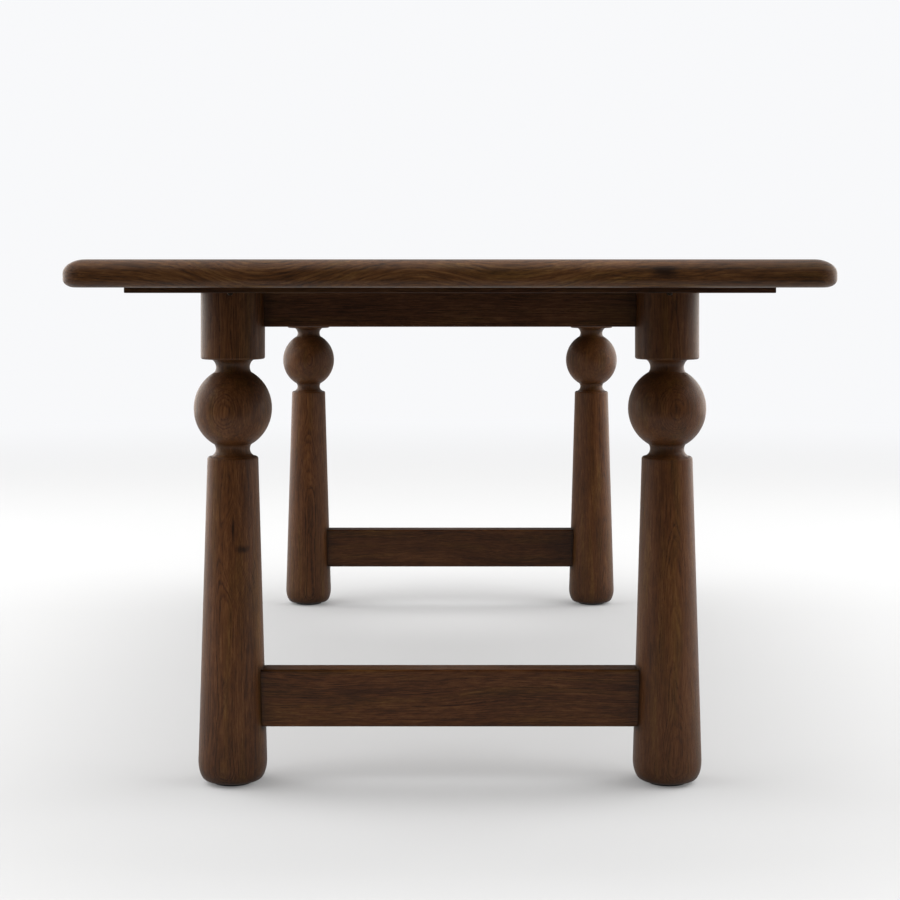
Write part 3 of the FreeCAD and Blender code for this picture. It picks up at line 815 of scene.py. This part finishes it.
def build_curtains():
    """Dark curtains behind the camera and past the far end, which only the gloss sees."""
    dark = glow_material("curtain", CURTAIN_COLOUR)
    (width, top), (far_width, far_top) = CURTAIN_SIZE, FAR_CURTAIN_SIZE
    half, far_half = width / 2, far_width / 2
    near = CURTAIN_PLACE + CURTAIN_TRAIN
    train = [(-half, CURTAIN_PLACE), (half, CURTAIN_PLACE), (half, near), (-half, near)]
    sheets = {
        "curtain": hanging((-half, CURTAIN_PLACE), (half, CURTAIN_PLACE), top),
        "curtain_train": [(x, y, CURTAIN_TRAIN_LIFT) for x, y in train],
        "far_curtain": hanging(
            (-far_half, FAR_CURTAIN_PLACE), (far_half, FAR_CURTAIN_PLACE), far_top
        ),
    }
    for name, corners in sheets.items():
        hide_from_all_but_gloss(build_sheet(name, corners, dark))


def build_flag():
    """Grey flag between the left and right legs, which dulls the gloss on their inner sides."""
    near, far, top = FLAG_SIZE
    grey = glow_material("flag", FLAG_COLOUR)
    hide_from_all_but_gloss(build_sheet("flag", hanging((0.0, near), (0.0, far), top), grey))


def build_cards():
    """Bright cards beside the far half of the table, which only the gloss sees."""
    bright, tree = empty_material("card")
    place = node(tree, "ShaderNodeTexCoord").outputs["Object"]
    along = node(tree, "ShaderNodeSeparateXYZ", {0: place}).outputs["Y"]
    colour = mixed(tree, ranged(tree, along, *CARD_RISE), WHITE_ROOM, CARD_COLOUR)
    show(tree, node(tree, "ShaderNodeEmission", {"Color": colour}))
    for side in (-1, 1):
        near, far = ((side * x, y) for x, y in CARD_ENDS)
        hide_from_all_but_gloss(build_sheet(f"card_{side}", hanging(near, far, CARD_TOP), bright))


def hide_from_all_but_gloss(sheet):
    sheet.visible_camera = False
    sheet.visible_diffuse = False
    sheet.visible_transmission = False
    sheet.visible_shadow = False


def build_lamp(name, place, target, size, power):
    lamp = bpy.data.lights.new(name, "AREA")
    lamp.shape = "RECTANGLE"
    lamp.size, lamp.size_y = size
    lamp.energy = power
    holder = bpy.data.objects.new(name, lamp)
    holder.location = place
    holder.rotation_euler = (Vector(target) - Vector(place)).to_track_quat("-Z", "Y").to_euler()
    holder.visible_camera = False
    holder.visible_glossy = False
    bpy.context.scene.collection.objects.link(holder)


# Place, target, size and power of each lamp
LAMPS = {
    "top_lamp": ((0.0, 0.3, 3.4), (0.0, 0.0, 0.0), (3.2, 4.0), 10.0),
    "side_lamp_-1": ((-3.0, -0.3, 2.2), (-0.3, -0.3, 0.4), (4.4, 1.8), 100.0),
    "side_lamp_1": ((3.0, -0.3, 2.2), (0.3, -0.3, 0.4), (4.4, 1.8), 100.0),
}


def build_lamps():
    for name, settings in LAMPS.items():
        build_lamp(name, *settings)


def build_camera():
    lens = bpy.data.cameras.new("camera")
    lens.sensor_width = SENSOR_WIDTH
    lens.lens = FOCAL_PIXELS * SENSOR_WIDTH / PICTURE_PIXELS
    lens.shift_y = (HORIZON_ROW - PICTURE_PIXELS / 2) / PICTURE_PIXELS
    lens.clip_end = CAMERA_REACH
    camera = bpy.data.objects.new("camera", lens)
    leg_axis = middle("leg_front_left").y
    camera.location = (0.0, leg_axis - CAMERA_TO_LEG_AXES, CAMERA_HEIGHT)
    camera.rotation_euler = (math.pi / 2, 0.0, 0.0)
    bpy.context.scene.collection.objects.link(camera)
    bpy.context.scene.camera = camera


oak = oak_group()
dress_planks(oak)
dress_breadboards(oak)
dress_cross_pieces(oak)
dress_legs(oak)
dress_pegs(oak)
dress_hardware()
build_world()
build_floor()
build_curtains()
build_flag()
build_cards()
build_lamps()
build_camera()
bpy.context.scene.view_settings.view_transform = "Standard"
